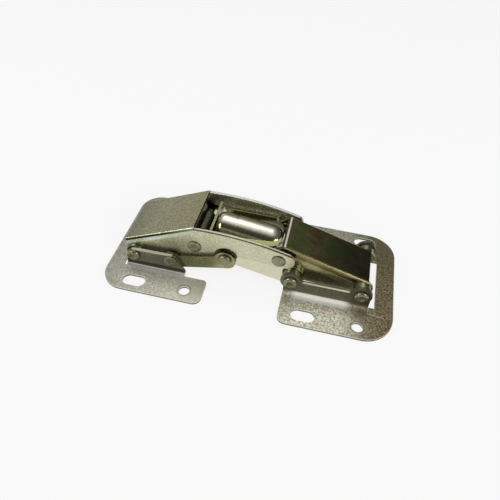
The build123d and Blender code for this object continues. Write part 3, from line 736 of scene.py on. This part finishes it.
# in the sky, "across", "along" and "heights" are parts of a unit direction; lamps are in metres and watts
studio = {
    "dim": 0.05,
    "ceiling": {
        "level": 0.3, "heights": (0.52, 0.95),
        "rightShade": 0.7, "rightAcross": (0.0, 0.25), "rightHeights": (0.8, 0.95),
        "leftShade": 0.3, "leftAcross": (0.15, 0.4),
        "frontShade": 0.96, "frontAlong": (-0.1, 0.3),
    },
    "softBox": {
        "level": 0.95, "at": (-0.05, 0.5, 0.865), "sharpness": 7,
        "rightShade": 0.7, "rightAcross": (0.1, 0.35),
    },
    "backLeft": {"level": 0.36, "across": (0.2, 0.6), "heights": (0.35, 0.6)},
    "frontLow": {"level": 0.4, "along": (0.4, 0.8), "heights": (0.5, 0.8)},
    "lamps": [
        {"name": "keyLight", "at": (-0.03, 0.3, 0.54), "size": 0.3, "power": 0.16},
        {"name": "rightLight", "at": (0.5, -0.25, 0.35), "size": 0.4, "power": 1.5},
        {"name": "leftLight", "at": (-0.45, -0.3, 0.4), "size": 0.4, "power": 1.5},
    ],
}


def ceilingLight(right, left, front, up):
    # brighter with height, weaker to the right except overhead, weaker to the left, nearly none in front
    look = studio["ceiling"]
    light = up.ramp(*look["heights"]) * look["level"]
    low = 1 - up.ramp(*look["rightHeights"])
    light = light * (1 - right.ramp(*look["rightAcross"]) * look["rightShade"] * low)
    light = light * (1 - left.ramp(*look["leftAcross"]) * look["leftShade"])
    return light * (1 - front.ramp(*look["frontAlong"]) * look["frontShade"])


def softBoxLight(right, back, up):
    # a power of the cosine from the box's middle, weaker to the right
    look = studio["softBox"]
    toRight, toBack, toUp = look["at"]
    facing = (right * toRight + back * toBack + up * toUp).clamped()
    shade = right.ramp(*look["rightAcross"]) * look["rightShade"]
    return facing ** look["sharpness"] * look["level"] * (1 - shade)


def skyPaint(tree):
    # light = ceiling + soft box + a pale wall low at the back left + one low in front + a dim rest
    paint = Paint(tree)
    right, back, up = paint.axes("Generated")
    left = right * -1
    front = back * -1
    backLeft, frontLow = studio["backLeft"], studio["frontLow"]
    leftWall = left.ramp(*backLeft["across"]) * (1 - up.ramp(*backLeft["heights"])) * backLeft["level"]
    frontWall = front.ramp(*frontLow["along"]) * (1 - up.ramp(*frontLow["heights"])) * frontLow["level"]
    level = ceilingLight(right, left, front, up) + softBoxLight(right, back, up)
    level = level + leftWall + frontWall + studio["dim"]
    white = Wave(paint, paint.node("ShaderNodeLightPath").outputs["Is Camera Ray"])
    level = level * (1 - white) + white
    sky = paint.node("ShaderNodeBackground", None, {"Color": (1, 1, 1, 1), "Strength": level})
    paint.node("ShaderNodeOutputWorld", None, {"Surface": sky.outputs[0]})


def lightStudio():
    # the sky, and round lamps that face the middle
    world = bpy.data.worlds.new("studio")
    scene.world = world
    world.use_nodes = True
    skyPaint(world.node_tree)
    for lamp in studio["lamps"]:
        data = bpy.data.lights.new(lamp["name"], "AREA")
        data.shape = "DISK"
        data.size = lamp["size"]
        data.energy = lamp["power"]
        light = bpy.data.objects.new(lamp["name"], data)
        light.location = lamp["at"]
        light.rotation_euler = (-Vector(lamp["at"])).to_track_quat("-Z", "Y").to_euler()
        scene.collection.objects.link(light)


lightStudio()
print("lights set")

# lens and sensor in mm, angles in degrees, the distance, the target and the nearest depth in metres
view = {
    "lens": 34.4, "sensor": 36.0, "azimuth": 10.126, "elevation": 46.293, "roll": -3.844,
    "distance": 160.044 * mm, "target": (-2.755 * mm, 4.975 * mm, 0.0), "nearest": 5 * mm,
}


def placeCamera():
    # back points from the target to the camera, by azimuth and elevation, and the roll turns the other
    # two axes about it
    azimuth = math.radians(view["azimuth"])
    elevation = math.radians(view["elevation"])
    roll = math.radians(view["roll"])
    back = Vector((
        math.sin(azimuth) * math.cos(elevation),
        -math.cos(azimuth) * math.cos(elevation),
        math.sin(elevation),
    ))
    level = Vector((math.cos(azimuth), math.sin(azimuth), 0))
    down = -level.cross(-back)
    right = level * math.cos(roll) + down * math.sin(roll)
    up = level * math.sin(roll) - down * math.cos(roll)
    turn = Matrix((right, up, back)).transposed()
    data = bpy.data.cameras.new("camera")
    data.lens = view["lens"]
    data.sensor_width = view["sensor"]
    data.sensor_fit = "HORIZONTAL"
    data.clip_start = view["nearest"]
    camera = bpy.data.objects.new("camera", data)
    camera.matrix_world = Matrix.Translation(Vector(view["target"]) + back * view["distance"]) @ turn.to_4x4()
    scene.collection.objects.link(camera)
    scene.camera = camera


placeCamera()
print("camera placed")
